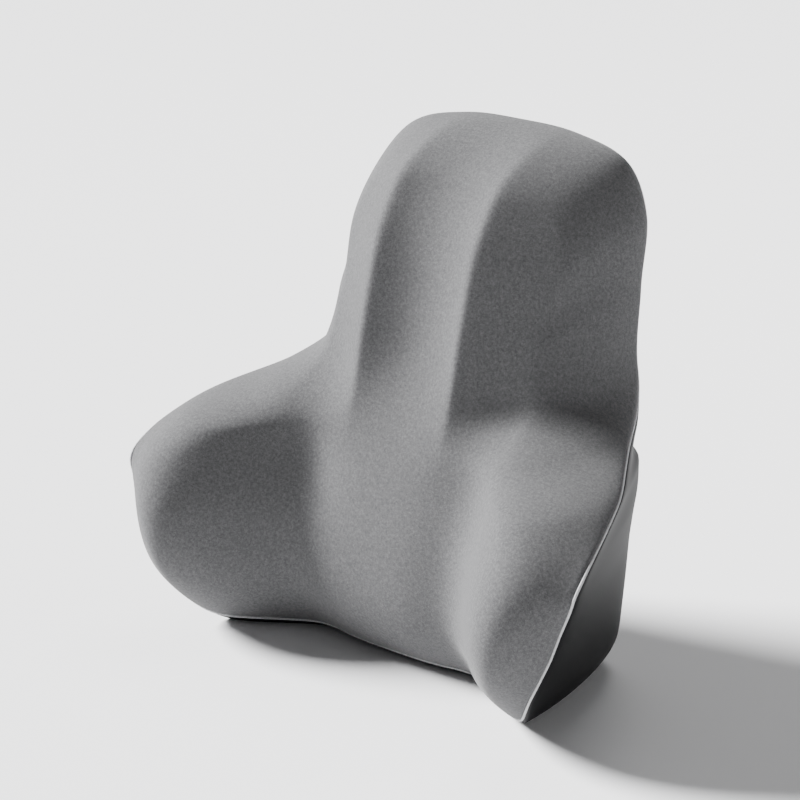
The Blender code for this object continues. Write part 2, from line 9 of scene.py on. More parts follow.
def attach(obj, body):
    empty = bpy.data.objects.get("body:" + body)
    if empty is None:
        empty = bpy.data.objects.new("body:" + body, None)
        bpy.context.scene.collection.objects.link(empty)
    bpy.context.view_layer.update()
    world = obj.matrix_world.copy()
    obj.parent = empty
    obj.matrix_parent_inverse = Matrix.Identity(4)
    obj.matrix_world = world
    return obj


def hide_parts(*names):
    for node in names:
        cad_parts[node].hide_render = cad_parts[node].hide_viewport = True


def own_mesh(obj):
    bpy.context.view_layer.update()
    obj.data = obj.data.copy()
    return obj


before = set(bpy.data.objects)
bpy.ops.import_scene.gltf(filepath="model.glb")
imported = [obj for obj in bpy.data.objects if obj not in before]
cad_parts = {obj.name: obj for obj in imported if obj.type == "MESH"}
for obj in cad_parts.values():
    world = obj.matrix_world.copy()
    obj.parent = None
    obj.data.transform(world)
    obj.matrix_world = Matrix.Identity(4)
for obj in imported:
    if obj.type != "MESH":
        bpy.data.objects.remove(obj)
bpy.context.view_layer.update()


def hexColour(code):
    values = [int(code[i:i + 2], 16) / 255 for i in (1, 3, 5)]
    linear = [v / 12.92 if v <= 0.04045 else ((v + 0.055) / 1.055) ** 2.4 for v in values]
    return (*linear, 1.0)


def addNode(tree, kind, settings=None, inputs=None, stops=None, into=None):
    node = tree.nodes.new(kind)
    for name, value in (settings or {}).items():
        setattr(node, name, value)
    for name, value in (inputs or {}).items():
        if isinstance(value, tuple) and isinstance(value[0], bpy.types.Node):
            tree.links.new(value[0].outputs[value[1]], node.inputs[name])
        else:
            node.inputs[name].default_value = value
    for index, (place, colour) in enumerate(stops or []):
        elements = node.color_ramp.elements
        element = elements[index] if index < 2 else elements.new(place)
        element.position = place
        element.color = hexColour(colour)
    for output, socket in (into or {}).items():
        tree.links.new(node.outputs[output], socket)
    return node


def newMaterial(name, finish):
    material = bpy.data.materials.new(name)
    material.use_nodes = True
    tree = material.node_tree
    shader = tree.nodes["Principled BSDF"]
    for socket, value in finish.items():
        shader.inputs[socket].default_value = value
    return material, tree, shader


def bandScale(millimetres):
    # a wave texture at scale 1 has 20 radians to the metre
    return 1000 * math.tau / 20 / millimetres


velour = {
    "lit": "#646465", "mid": "#545455", "deep": "#444446",
    "pileMm": 2.2, "fibreMm": 0.7, "pileDepth": 0.0005,
}


def makeVelour():
    # short-pile polyester velour, warp knitted and brushed: matt, softly mottled, pale at grazing angles
    material, tree, shader = newMaterial("brushed_polyester_velour", {
        "Roughness": 0.92, "Specular IOR Level": 0.15, "Sheen Weight": 0.14, "Sheen Roughness": 0.4,
    })
    place = addNode(tree, "ShaderNodeTexCoord")
    pile = addNode(tree, "ShaderNodeTexNoise", inputs={
        "Vector": (place, "Object"), "Scale": 1000 / velour["pileMm"], "Detail": 3.0, "Roughness": 0.6})
    fibre = addNode(tree, "ShaderNodeTexNoise", inputs={
        "Vector": (place, "Object"), "Scale": 1000 / velour["fibreMm"], "Detail": 2.0})
    both = addNode(tree, "ShaderNodeMath", {"operation": "ADD"}, {0: (pile, "Fac"), 1: (fibre, "Fac")})
    half = addNode(tree, "ShaderNodeMath", {"operation": "MULTIPLY"}, {0: (both, "Value"), 1: 0.5})
    stops = [(0.34, velour["deep"]), (0.66, velour["lit"]), (0.5, velour["mid"])]
    addNode(tree, "ShaderNodeValToRGB", inputs={"Fac": (half, "Value")}, stops=stops,
            into={"Color": shader.inputs["Base Color"]})
    addNode(tree, "ShaderNodeBump", into={"Normal": shader.inputs["Normal"]}, inputs={
        "Height": (half, "Value"), "Strength": 0.55, "Distance": velour["pileDepth"]})
    return material


rearKnit = {"dark": "#050506", "light": "#0c0c0e", "waleMm": 1.6, "stretch": 0.16, "depth": 0.0002}


def makeRearKnit():
    # warp-knitted polyester with a calendered face: black, close ribs, a low satin sheen
    material, tree, shader = newMaterial("calendered_black_knit", {
        "Roughness": 0.62, "Specular IOR Level": 0.16,
    })
    place = addNode(tree, "ShaderNodeTexCoord")
    upright = addNode(tree, "ShaderNodeMapping", inputs={
        "Vector": (place, "Object"), "Scale": (1.0, 1.0, rearKnit["stretch"])})
    ribs = addNode(tree, "ShaderNodeTexNoise", inputs={
        "Vector": (upright, "Vector"), "Scale": 1000 / rearKnit["waleMm"], "Detail": 2.0})
    addNode(tree, "ShaderNodeValToRGB", inputs={"Fac": (ribs, "Fac")},
            stops=[(0.0, rearKnit["dark"]), (1.0, rearKnit["light"])],
            into={"Color": shader.inputs["Base Color"]})
    addNode(tree, "ShaderNodeBump", into={"Normal": shader.inputs["Normal"]}, inputs={
        "Height": (ribs, "Fac"), "Strength": 0.3, "Distance": rearKnit["depth"]})
    return material


binding = {"dark": "#a3a3a5", "light": "#bfbfc1", "twistMm": 10 / 9, "depth": 0.0002}


def makePipingCloth():
    # bias-cut velour binding turned over a cord: pale, with the cord's twist showing
    material, tree, shader = newMaterial("bias_cut_velour_binding", {"Roughness": 0.85, "Sheen Weight": 0.2})
    place = addNode(tree, "ShaderNodeTexCoord")
    twist = addNode(tree, "ShaderNodeTexNoise", inputs={
        "Vector": (place, "Object"), "Scale": 1000 / binding["twistMm"], "Detail": 2.0})
    addNode(tree, "ShaderNodeValToRGB", inputs={"Fac": (twist, "Fac")},
            stops=[(0.35, binding["dark"]), (0.65, binding["light"])],
            into={"Color": shader.inputs["Base Color"]})
    addNode(tree, "ShaderNodeBump", into={"Normal": shader.inputs["Normal"]}, inputs={
        "Height": (twist, "Fac"), "Strength": 0.4, "Distance": binding["depth"]})
    return material


mouldedFoam = {"dark": "#c9bd99", "light": "#efe6c8", "cellMm": 10 / 7, "depth": 0.0004}


def makeFoam():
    # slow-recovery polyurethane foam, moulded: cream, with an open cell face
    material, tree, shader = newMaterial("moulded_polyurethane_foam", {"Roughness": 0.95})
    place = addNode(tree, "ShaderNodeTexCoord")
    cells = addNode(tree, "ShaderNodeTexVoronoi", inputs={
        "Vector": (place, "Object"), "Scale": 1000 / mouldedFoam["cellMm"]})
    addNode(tree, "ShaderNodeValToRGB", inputs={"Fac": (cells, "Distance")},
            stops=[(0.0, mouldedFoam["dark"]), (0.6, mouldedFoam["light"])],
            into={"Color": shader.inputs["Base Color"]})
    addNode(tree, "ShaderNodeBump", into={"Normal": shader.inputs["Normal"]}, inputs={
        "Height": (cells, "Distance"), "Strength": 0.5, "Distance": mouldedFoam["depth"]})
    return material


tricot = {"dark": "#cfcfcd", "light": "#e9e9e7", "waleMm": 1.6, "depth": 0.0002}


def makeLinerKnit():
    # thin tricot liner, undyed: white, with fine wales
    material, tree, shader = newMaterial("undyed_tricot", {"Roughness": 0.85, "Sheen Weight": 0.1})
    place = addNode(tree, "ShaderNodeTexCoord")
    wales = addNode(tree, "ShaderNodeTexWave", inputs={
        "Vector": (place, "Object"), "Scale": bandScale(tricot["waleMm"]), "Distortion": 0.4})
    addNode(tree, "ShaderNodeValToRGB", inputs={"Fac": (wales, "Fac")},
            stops=[(0.0, tricot["dark"]), (1.0, tricot["light"])],
            into={"Color": shader.inputs["Base Color"]})
    addNode(tree, "ShaderNodeBump", into={"Normal": shader.inputs["Normal"]}, inputs={
        "Height": (wales, "Fac"), "Strength": 0.3, "Distance": tricot["depth"]})
    return material


webbing = {"dark": "#070708", "light": "#1c1c1f", "ribMm": 2.2, "pickMm": 2.6, "depth": 0.0004}


def makeWebbing():
    # woven polypropylene webbing: black, ribbed across, with a dull plastic glint
    material, tree, shader = newMaterial("woven_polypropylene_webbing", {
        "Roughness": 0.6, "Specular IOR Level": 0.4})
    place = addNode(tree, "ShaderNodeTexCoord")
    ribs = addNode(tree, "ShaderNodeTexWave", {"bands_direction": "X"}, {
        "Vector": (place, "Object"), "Scale": bandScale(webbing["ribMm"]), "Distortion": 0.2})
    weave = addNode(tree, "ShaderNodeTexWave", {"bands_direction": "Z"}, {
        "Vector": (place, "Object"), "Scale": bandScale(webbing["pickMm"]), "Distortion": 0.2})
    both = addNode(tree, "ShaderNodeMath", {"operation": "MULTIPLY"}, {0: (ribs, "Fac"), 1: (weave, "Fac")})
    addNode(tree, "ShaderNodeValToRGB", inputs={"Fac": (both, "Value")},
            stops=[(0.0, webbing["dark"]), (0.7, webbing["light"])],
            into={"Color": shader.inputs["Base Color"]})
    addNode(tree, "ShaderNodeBump", into={"Normal": shader.inputs["Normal"]}, inputs={
        "Height": (both, "Value"), "Strength": 0.6, "Distance": webbing["depth"]})
    return material


zipTape = {"dark": "#0b0b0c", "light": "#1d1d20", "twillMm": 1.5, "depth": 0.0002}


def makeZipTape():
    # woven polyester zip tape: black, fine diagonal twill
    material, tree, shader = newMaterial("woven_polyester_zip_tape", {"Roughness": 0.8})
    place = addNode(tree, "ShaderNodeTexCoord")
    twill = addNode(tree, "ShaderNodeTexWave", {"bands_direction": "DIAGONAL"}, {
        "Vector": (place, "Object"), "Scale": bandScale(zipTape["twillMm"]), "Distortion": 0.2})
    addNode(tree, "ShaderNodeValToRGB", inputs={"Fac": (twill, "Fac")},
            stops=[(0.0, zipTape["dark"]), (1.0, zipTape["light"])],
            into={"Color": shader.inputs["Base Color"]})
    addNode(tree, "ShaderNodeBump", into={"Normal": shader.inputs["Normal"]}, inputs={
        "Height": (twill, "Fac"), "Strength": 0.4, "Distance": zipTape["depth"]})
    return material


def makePlastic(name, dark, light, roughness, grainMm):
    material, tree, shader = newMaterial(name, {"Roughness": roughness, "IOR": 1.48})
    place = addNode(tree, "ShaderNodeTexCoord")
    grain = addNode(tree, "ShaderNodeTexNoise", inputs={
        "Vector": (place, "Object"), "Scale": 1000 / grainMm, "Detail": 2.0})
    addNode(tree, "ShaderNodeValToRGB", inputs={"Fac": (grain, "Fac")},
            stops=[(0.3, dark), (0.7, light)],
            into={"Color": shader.inputs["Base Color"]})
    addNode(tree, "ShaderNodeBump", into={"Normal": shader.inputs["Normal"]}, inputs={
        "Height": (grain, "Fac"), "Strength": 0.25, "Distance": 0.0001})
    return material


lacqueredZinc = {"dark": "#18181a", "light": "#2e2e31", "smooth": "#5a5a5a", "dull": "#7c7c7c", "wearMm": 2.5}


def makeLacqueredZinc():
    # die-cast zinc under black lacquer: dark, smooth, with tight highlights
    material, tree, shader = newMaterial("black_lacquered_zinc", {
        "Metallic": 0.6, "Coat Weight": 0.5, "Coat Roughness": 0.15})
    place = addNode(tree, "ShaderNodeTexCoord")
    wear = addNode(tree, "ShaderNodeTexNoise", inputs={
        "Vector": (place, "Object"), "Scale": 1000 / lacqueredZinc["wearMm"], "Detail": 3.0})
    addNode(tree, "ShaderNodeValToRGB", inputs={"Fac": (wear, "Fac")},
            stops=[(0.3, lacqueredZinc["dark"]), (0.75, lacqueredZinc["light"])],
            into={"Color": shader.inputs["Base Color"]})
    addNode(tree, "ShaderNodeValToRGB", inputs={"Fac": (wear, "Fac")},
            stops=[(0.3, lacqueredZinc["smooth"]), (0.7, lacqueredZinc["dull"])],
            into={"Color": shader.inputs["Roughness"]})
    return material


finishes = {
    "velour": makeVelour(),
    "rearKnit": makeRearKnit(),
    "piping": makePipingCloth(),
    "foam": makeFoam(),
    "liner": makeLinerKnit(),
    "webbing": makeWebbing(),
    "zipTape": makeZipTape(),
    # nylon monofilament coil: black, slightly glossy
    "nylon": makePlastic("nylon_monofilament_coil", "#0d0d0e", "#1a1a1c", 0.38, 0.8),
    # injection-moulded acetal with a fine spark-eroded face: black, low gloss
    "acetal": makePlastic("spark_textured_acetal", "#111113", "#1c1c1f", 0.42, 0.5),
    "zinc": makeLacqueredZinc(),
    # spun polyester sewing thread, twisted: dark grey, matt
    "thread": makePlastic("spun_polyester_thread", "#2a2a2c", "#4a4a4d", 0.8, 0.4),
}
print("materials made")


cushion = {
    "width": 0.453, "height": 0.411, "lean": 0.157, "poleHeight": 0.165,
    "baseSink": 0.0137, "setBack": 0.0431,
    "lobeWidth": 0.2634, "lobeBase": 0.2364, "crestOffset": 0.0475, "crestRound": 0.10, "grooveDepth": 0.016,
    "flankSlope": 0.72, "flankRound": 0.004, "lobeEdge": 0.0373, "lobeRearEdge": 0.020,
    "wingHeight": 0.1436, "wingForward": 0.0743, "wingOffset": 0.180, "wingCentre": 0.103,
    "wingSpread": 0.0486, "wingRise": 0.103, "wingEdge": 0.065, "wingRearEdge": 0.068,
    "valleyDepth": 0.012, "valleyOffset": 0.085, "valleySpread": 0.035,
    "baseEdge": 0.034, "footEdge": 0.0268,
    "rearOffset": 0.0277, "rimSet": 0.015, "flatHalf": 0.129, "rearCurl": 2.106, "curlRound": 0.03,
    "seamDepth": 0.143, "seamHeight": 0.005, "seamInset": 0.2, "seamDip": 0.0012, "seamDipReach": 0.0022,
    "pipingRadius": 0.0010, "coverThickness": 0.0018, "foamDepth": 0.0065, "linerDepth": 0.0045,
    "columns": 384, "fineRows": 640, "frontRows": 120, "rearRows": 84, "innerColumns": 96, "innerRows": 48,
    "innerFineRows": 320,
}


def smooth(low, high, value):
    t = np.clip((value - low) / (high - low), 0.0, 1.0)
    return t * t * (3.0 - 2.0 * t)


def curveThrough(points, samples):
    points = np.array(points, float)
    behind = points - np.roll(points, 1, axis=0)
    ahead = np.roll(points, -1, axis=0) - points
    stepIn = np.sqrt(np.linalg.norm(behind, axis=1))[:, None]
    stepOut = np.sqrt(np.linalg.norm(ahead, axis=1))[:, None]
    speed = (behind / stepIn * stepOut + ahead / stepOut * stepIn) / (stepIn + stepOut)
    t = np.linspace(0.0, 1.0, 80, endpoint=False)[:, None, None]
    dense = points + t**2 * (3 - 2 * t) * ahead
    dense = dense + t * (1 - t) ** 2 * speed * stepOut
    dense = dense - t**2 * (1 - t) * np.roll(speed, -1, axis=0) * stepOut
    dense = dense.transpose(1, 0, 2).reshape(-1, 2)
    closed = np.vstack([dense, dense[:1]])
    length = np.r_[0.0, np.cumsum(np.linalg.norm(np.diff(closed, axis=0), axis=1))]
    even = np.linspace(0.0, length[-1], samples, endpoint=False)
    return np.column_stack([np.interp(even, length, closed[:, axis]) for axis in (0, 1)])


def cushionOutline(samples):
    # half of the front outline, from the middle of the base and up the right-hand side
    c = cushion
    half, lobe = c["width"] / 2, c["lobeWidth"] / 2
    wing, base = c["wingHeight"], c["lobeBase"]
    shoulder = c["height"] - base
    right = [
        (0.0, -c["baseSink"]),
        (0.27 * half, -c["baseSink"]),
        (0.53 * half, -c["baseSink"] + 0.001),
        (0.70 * half, 0.022 * wing),
        (0.84 * half, 0.316 * wing),
        (0.94 * half, 0.68 * wing),
        (1.00 * half, wing),
        (0.92 * half, wing + 0.351 * (base - wing)),
        (0.72 * half, wing + 0.651 * (base - wing)),
        (lobe + 0.007, base),
        (lobe, base + 0.36 * shoulder),
        (0.975 * lobe, base + 0.69 * shoulder),
        (0.80 * lobe, base + 0.90 * shoulder),
        (0.42 * lobe, base + 0.985 * shoulder),
        (0.0, c["height"]),
    ]
    left = [(-x, z) for x, z in right[-2:0:-1]]
    return curveThrough(right + left, samples)


def centreDepth(z):
    heights = np.array([0.0, 0.12, 0.25, 0.40, 0.54, 0.69, 0.84, 0.97, 1.05]) * cushion["height"]
    depths = np.array([-0.081, -0.106, -0.106, -0.086, -0.069, -0.055, -0.035, 0.004, 0.034])
    slopes = np.gradient(depths, heights)
    z = np.clip(z, heights[0], heights[-1])
    span = np.clip(np.searchsorted(heights, z) - 1, 0, len(heights) - 2)
    run = heights[span + 1] - heights[span]
    t = (z - heights[span]) / run
    return ((2 * t**3 - 3 * t**2 + 1) * depths[span] + (t**3 - 2 * t**2 + t) * run * slopes[span]
            + (3 * t**2 - 2 * t**3) * depths[span + 1] + (t**3 - t**2) * run * slopes[span + 1])


def lobeShare(z):
    return smooth(cushion["wingHeight"], cushion["lobeBase"] + 0.015, z)


def frontFace(x, z):
    c = cushion
    side = np.abs(x)
    low = 1.0 - lobeShare(z)
    bowl = 1.0 - (side / c["crestOffset"]) ** 2
    bowl = 0.5 * (bowl + np.sqrt(bowl**2 + c["crestRound"] ** 2))
    groove = c["grooveDepth"] * smooth(0.15, 0.27, z) * bowl
    past = side - c["crestOffset"]
    past = 0.5 * (past + np.sqrt(past**2 + c["flankRound"] ** 2))
    flank = smooth(0.178, 0.228, z) * c["flankSlope"] * past
    across = (side - c["wingOffset"]) / c["wingSpread"]
    up = (z - c["wingCentre"]) / c["wingRise"]
    wing = c["wingForward"] * np.exp(-(across**2 + up**2) / 2)
    valley = c["valleyDepth"] * np.exp(-(((side - c["valleyOffset"]) / c["valleySpread"]) ** 2)) * low
    return centreDepth(z) + groove + flank - wing + valley


def rearFace(x, z):
    c = cushion
    past = np.clip(np.abs(x) - c["flatHalf"], 0, None)
    curl = c["rearCurl"] * (np.sqrt(past**2 + c["curlRound"] ** 2) - c["curlRound"])
    curl = curl * (1.0 - smooth(0.13, 0.27, z))
    return c["rearOffset"] + c["lean"] * z - curl


def rimDepth(x, z):
    c = cushion
    lobe = c["lean"] * z + c["rearOffset"] - c["rimSet"]
    side = smooth(0.08, 0.20, np.abs(x))
    wing = -c["seamDepth"] * side + (c["rearOffset"] - 0.05) * (1.0 - side)
    share = smooth(0.130, 0.240, z)
    return lobe * share + wing * (1.0 - share)


def edgeRadius(x, z, isFront):
    c = cushion
    share = lobeShare(z)
    front = c["wingEdge"] + (c["lobeEdge"] - c["wingEdge"]) * share
    rear = c["wingRearEdge"] + (c["lobeRearEdge"] - c["wingRearEdge"]) * share
    base = (1.0 - smooth(0.0, 0.07, z)) * (1.0 - smooth(0.10, 0.19, np.abs(x)))
    front = front + (c["baseEdge"] - front) * base
    rear = rear + (c["footEdge"] - rear) * (1.0 - smooth(0.02, 0.10, z))
    return np.where(isFront, front, rear)


def cushionSkin(columns, fineRows):
    # meridians from the front's middle (turn 0) over the rim (turn 1) to the rear's middle (turn 2)
    c = cushion
    rim = cushionOutline(columns)
    centre = np.array([0.0, c["poleHeight"]])
    turn = np.linspace(0.0, 2.0, fineRows + 1)
    share = np.sin(turn * math.pi / 2)
    reach = rim - centre
    tangent = np.roll(rim, -1, axis=0) - np.roll(rim, 1, axis=0)
    across = np.column_stack([tangent[:, 1], -tangent[:, 0]])
    across /= np.linalg.norm(across, axis=1)[:, None]
    clear = np.abs((reach * across).sum(axis=1))
    x = centre[0] + reach[:, :1] * share
    z = centre[1] + reach[:, 1:] * share
    isFront = turn < 1.0
    inset = np.clip(clear[:, None] * (1.0 - share) / edgeRadius(rim[:, :1], rim[:, 1:], isFront), 0, 1)
    roundShare = np.sqrt(np.clip(1.0 - (1.0 - inset) ** 2, 0, 1))
    rimY = rimDepth(rim[:, :1], rim[:, 1:])
    face = np.where(isFront, frontFace(x, z), rearFace(x, z))
    y = c["setBack"] + rimY + (face - rimY) * roundShare
    points = np.stack([x, y, np.maximum(z, 0.0)], axis=-1)
    want = c["seamHeight"] - rim[:, 1]
    drop = 0.5 * (want + np.sqrt(want**2 + 0.006**2)) * (1.0 - smooth(0.03, 0.08, rim[:, 1]))
    seamShare = 1.0 - drop / (c["poleHeight"] - np.minimum(rim[:, 1], c["poleHeight"] - 0.05))
    seam = np.arcsin(np.clip(seamShare, 0, 1)) * 2 / math.pi
    behind = 2.0 - np.arcsin(1.0 - c["seamInset"] * c["lobeRearEdge"] / clear) * 2 / math.pi
    seam = seam + (behind - 1.0) * smooth(0.13, 0.25, rim[:, 1])
    return turn, points, seam


def rowsBetween(turn, points, first, last, count):
    # rows spaced evenly along each meridian between two turns
    step = np.linalg.norm(np.diff(points, axis=1), axis=2)
    length = np.concatenate([np.zeros((len(points), 1)), np.cumsum(step, axis=1)], axis=1)
    made = np.empty((count + 1, len(points), 3))
    for i, meridian in enumerate(points):
        low = np.interp(first[i], turn, length[i])
        high = np.interp(last[i], turn, length[i])
        where = np.interp(np.linspace(low, high, count + 1), length[i], turn)
        for axis in range(3):
            made[:, i, axis] = np.interp(where, turn, meridian[:, axis])
    return made


def rowNormals(rows):
    around = np.roll(rows, -1, axis=1) - np.roll(rows, 1, axis=1)
    along = np.gradient(rows, axis=0)
    normals = np.cross(along, around)
    for row, near in ((0, 2), (-1, -3)):
        if np.ptp(rows[row], axis=0).max() < 1e-6:
            normals[row] = normals[near].sum(axis=0)
    return normals / (np.linalg.norm(normals, axis=-1, keepdims=True) + 1e-12)


def meshFromRows(name, rows, poleFirst, poleLast, ringClosed=False):
    count = rows.shape[1]
    points, index = [], []
    for number, row in enumerate(rows):
        pole = (poleFirst and number == 0) or (poleLast and number == len(rows) - 1)
        index.append([len(points)] * count if pole else list(range(len(points), len(points) + count)))
        points.extend([tuple(row[0])] if pole else [tuple(point) for point in row])
    pairs = list(zip(index, index[1:])) + ([(index[-1], index[0])] if ringClosed else [])
    faces = []
    for low, high in pairs:
        for i in range(count):
            j = (i + 1) % count
            corners = [low[i], high[i], high[j], low[j]]
            face = [corner for k, corner in enumerate(corners) if corner not in corners[:k]]
            faces.append(face)
    mesh = bpy.data.meshes.new(name)
    mesh.from_pydata(points, [], faces)
    mesh.update()
    made = bpy.data.objects.new(name, mesh)
    bpy.context.collection.objects.link(made)
    shape = bmesh.new()
    shape.from_mesh(mesh)
    bmesh.ops.recalc_face_normals(shape, faces=shape.faces)
    shape.to_mesh(mesh)
    shape.free()
    mesh.shade_smooth()
    return made


def finishPiece(piece, finish, body, slotName, *nodes):
    piece.data.materials.clear()
    piece.data.materials.append(finishes[finish])
    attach(piece, body)
    if nodes:
        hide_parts(*nodes)
    return piece


def applyModifiers(piece):
    bpy.ops.object.select_all(action="DESELECT")
    bpy.context.view_layer.objects.active = piece
    piece.select_set(True)
    for modifier in list(piece.modifiers):
        bpy.ops.object.modifier_apply(modifier=modifier.name)
    piece.select_set(False)


def coverShell(name, rows, isFront):
    # the outer face dips in at the seam, then the wall gets its thickness inwards
    c = cushion
    normals = rowNormals(rows)
    edge = rows[-1] if isFront else rows[0]
    away = np.linalg.norm(rows - edge, axis=2)
    dip = c["seamDip"] * np.exp(-((away / c["seamDipReach"]) ** 2))
    shaped = rows - normals * dip[..., None]
    shaped[..., 2] = np.maximum(shaped[..., 2], 0.0)
    made = meshFromRows(name, shaped, isFront, not isFront)
    wall = made.modifiers.new("wall", "SOLIDIFY")
    wall.thickness = c["coverThickness"]
    wall.offset = -1.0
    applyModifiers(made)
    made.data.shade_smooth()
    return made


def buildCushion():
    c = cushion
    turn, points, seam = cushionSkin(c["columns"], c["fineRows"])
    step = np.linalg.norm(np.diff(points, axis=1), axis=2)
    length = np.concatenate([np.zeros((len(points), 1)), np.cumsum(step, axis=1)], axis=1)
    room = c["pipingRadius"] * 0.8
    atSeam = np.array([np.interp(seam[i], turn, length[i]) for i in range(len(seam))])
    frontEdge = np.array([np.interp(atSeam[i] - room, length[i], turn) for i in range(len(seam))])
    rearEdge = np.array([np.interp(atSeam[i] + room, length[i], turn) for i in range(len(seam))])
    zero = np.zeros(len(seam))
    front = rowsBetween(turn, points, zero, frontEdge, c["frontRows"])
    rear = rowsBetween(turn, points, rearEdge, zero + 2.0, c["rearRows"])
    cover = coverShell("front_velour_cover", front, True)
    finishPiece(cover, "velour", "cushion", "front_velour", "front_cover")
    back = coverShell("rear_knit_cover", rear, False)
    cutZipSlot(back)
    finishPiece(back, "rearKnit", "cushion", "rear_knit", "rear_cover")
    line = rowsBetween(turn, points, seam, seam, 0)[0]
    buildPiping(line, front, rear)


def buildPiping(line, front, rear):
    c = cushion
    ahead = np.roll(line, -1, axis=0) - np.roll(line, 1, axis=0)
    ahead /= np.linalg.norm(ahead, axis=1)[:, None]
    out = rowNormals(front)[-1] + rowNormals(rear)[0]
    out -= ahead * (out * ahead).sum(axis=1)[:, None]
    out /= np.linalg.norm(out, axis=1)[:, None]
    side = np.cross(ahead, out)
    centre = line - out * c["pipingRadius"] * 0.8
    sides = 10
    rings = []
    for k in range(sides):
        angle = math.tau * k / sides
        rings.append(centre + c["pipingRadius"] * (math.cos(angle) * out + math.sin(angle) * side))
    piping = meshFromRows("piping_cord", np.array(rings), False, False, ringClosed=True)
    finishPiece(piping, "piping", "cushion", "piping", "seam_piping")


def buildInner(name, depth, finish, slotName, node):
    columns, rows = cushion["innerColumns"], cushion["innerRows"]
    turn, points, seam = cushionSkin(columns, cushion["innerFineRows"])
    grid = rowsBetween(turn, points, np.zeros(columns), np.full(columns, 2.0), rows)
    grid = grid - rowNormals(grid) * depth
    made = meshFromRows(name, grid, True, True)
    finishPiece(made, finish, "cushion", slotName, node)
    return made


def rearMatrix(height):
    # the flat of the rear, at a height: X along it, Y out of it, Z up it
    c = cushion
    lean = math.atan(c["lean"])
    cosine, sine = math.cos(lean), math.sin(lean)
    return Matrix((
        (1, 0, 0, 0),
        (0, cosine, sine, c["setBack"] + c["rearOffset"] + c["lean"] * height),
        (0, -sine, cosine, height),
        (0, 0, 0, 1),
    ))


zipper = {
    "height": 0.062, "length": 0.216, "slotHalf": 0.0072, "lipRadius": 0.0009, "toothPitch": 0.0025,
    "toothSize": (0.00105, 0.0015, 0.0030), "chainStart": -0.101, "chainEnd": 0.090, "toothMiddle": 0.0012,
    "stitchGap": 0.0034, "stitchLength": 0.0024, "stitchPitch": 0.0032, "threadRadius": 0.00022,
}
strap = {
    "height": 0.262, "width": 0.025, "thickness": 0.0012, "foldRadius": 0.0019,
    "left": [(-0.089, 0.0025), (-0.0065, 0.0025), (-0.0065, 0.00735), (-0.0135, 0.00735), (-0.024, 0.0041),
             (-0.056, 0.0041)],
    "right": [(0.089, 0.0025), (0.0485, 0.0025), (0.0485, 0.00735), (0.0555, 0.00735), (0.067, 0.0041),
              (0.079, 0.0041)],
    "patchInner": 0.062, "patchOuter": 0.092, "patchHalf": 0.0175, "patchBase": 0.0003, "patchTop": 0.0016,
    "hemInset": 0.0022, "boxInset": 0.005, "boxOuter": 0.0865, "boxHalf": 0.0095, "stitchInset": 0.0008,
    "threadRise": 0.0001, "release": 0.024,
}


def addBox(name, x, y, z):
    # a cube added at its place and size
    bpy.ops.object.select_all(action="DESELECT")
    middle = [(low + high) / 2 for low, high in (x, y, z)]
    bpy.ops.mesh.primitive_cube_add(size=1.0, location=middle)
    made = bpy.context.active_object
    made.name = name
    made.scale = [high - low for low, high in (x, y, z)]
    bpy.ops.object.transform_apply(location=True, rotation=True, scale=True)
    return made


def bevelEdges(piece, width, segments, along=None):
    # bevels every edge, or just those that run along one axis
    bpy.ops.object.select_all(action="DESELECT")
    bpy.context.view_layer.objects.active = piece
    piece.select_set(True)
    bpy.ops.object.mode_set(mode="EDIT")
    bpy.ops.mesh.select_all(action="DESELECT")
    shape = bmesh.from_edit_mesh(piece.data)
    for edge in shape.edges:
        run = edge.verts[1].co - edge.verts[0].co
        edge.select_set(along is None or abs(run[along]) > 0.99 * run.length)
    bmesh.update_edit_mesh(piece.data)
    bpy.ops.mesh.bevel(offset=width, segments=segments, profile=0.5)
    bpy.ops.object.mode_set(mode="OBJECT")


def smoothByAngle(piece, degrees):
    bpy.ops.object.select_all(action="DESELECT")
    bpy.context.view_layer.objects.active = piece
    piece.select_set(True)
    bpy.ops.object.shade_smooth_by_angle(angle=math.radians(degrees))
    piece.select_set(False)


def joinCopies(name, pattern, places):
    # one mesh made of a copy of the pattern at each place
    shape = bmesh.new()
    for place in places:
        mesh = pattern.data.copy()
        mesh.transform(place)
        shape.from_mesh(mesh)
        bpy.data.meshes.remove(mesh)
    joined = bpy.data.meshes.new(name)
    shape.to_mesh(joined)
    shape.free()
    made = bpy.data.objects.new(name, joined)
    bpy.context.collection.objects.link(made)
    bpy.data.objects.remove(pattern)
    made.data.shade_smooth()
    return made


def cutZipSlot(cover):
    z = zipper
    half = z["length"] / 2
    cutter = addBox("zip_slot_cutter", (-half, half), (-0.006, 0.006), (-z["slotHalf"], z["slotHalf"]))
    bevelEdges(cutter, z["slotHalf"] * 0.6, 5, along=1)
    cutter.data.transform(rearMatrix(z["height"]))
    change = cover.modifiers.new("slot", "BOOLEAN")
    change.object = cutter
    change.operation = "DIFFERENCE"
    applyModifiers(cover)
    bpy.data.objects.remove(cutter)


def buildStitches(name, spots, matrix, slotName):
    # each spot is a middle, X and Z, its turn about Y and how high it lies
    z = zipper
    bpy.ops.object.select_all(action="DESELECT")
    bpy.ops.mesh.primitive_cylinder_add(vertices=8, radius=z["threadRadius"], depth=z["stitchLength"],
                                        rotation=(0, math.pi / 2, 0))
    stitch = bpy.context.active_object
    bpy.ops.object.transform_apply(location=True, rotation=True, scale=True)
    bevelEdges(stitch, z["threadRadius"] * 0.6, 2)
    places = [matrix @ Matrix.Translation((x, y, up)) @ Matrix.Rotation(turn, 4, "Y")
              for x, y, up, turn in spots]
    made = joinCopies(name, stitch, places)
    return finishPiece(made, "thread", "cushion", slotName)


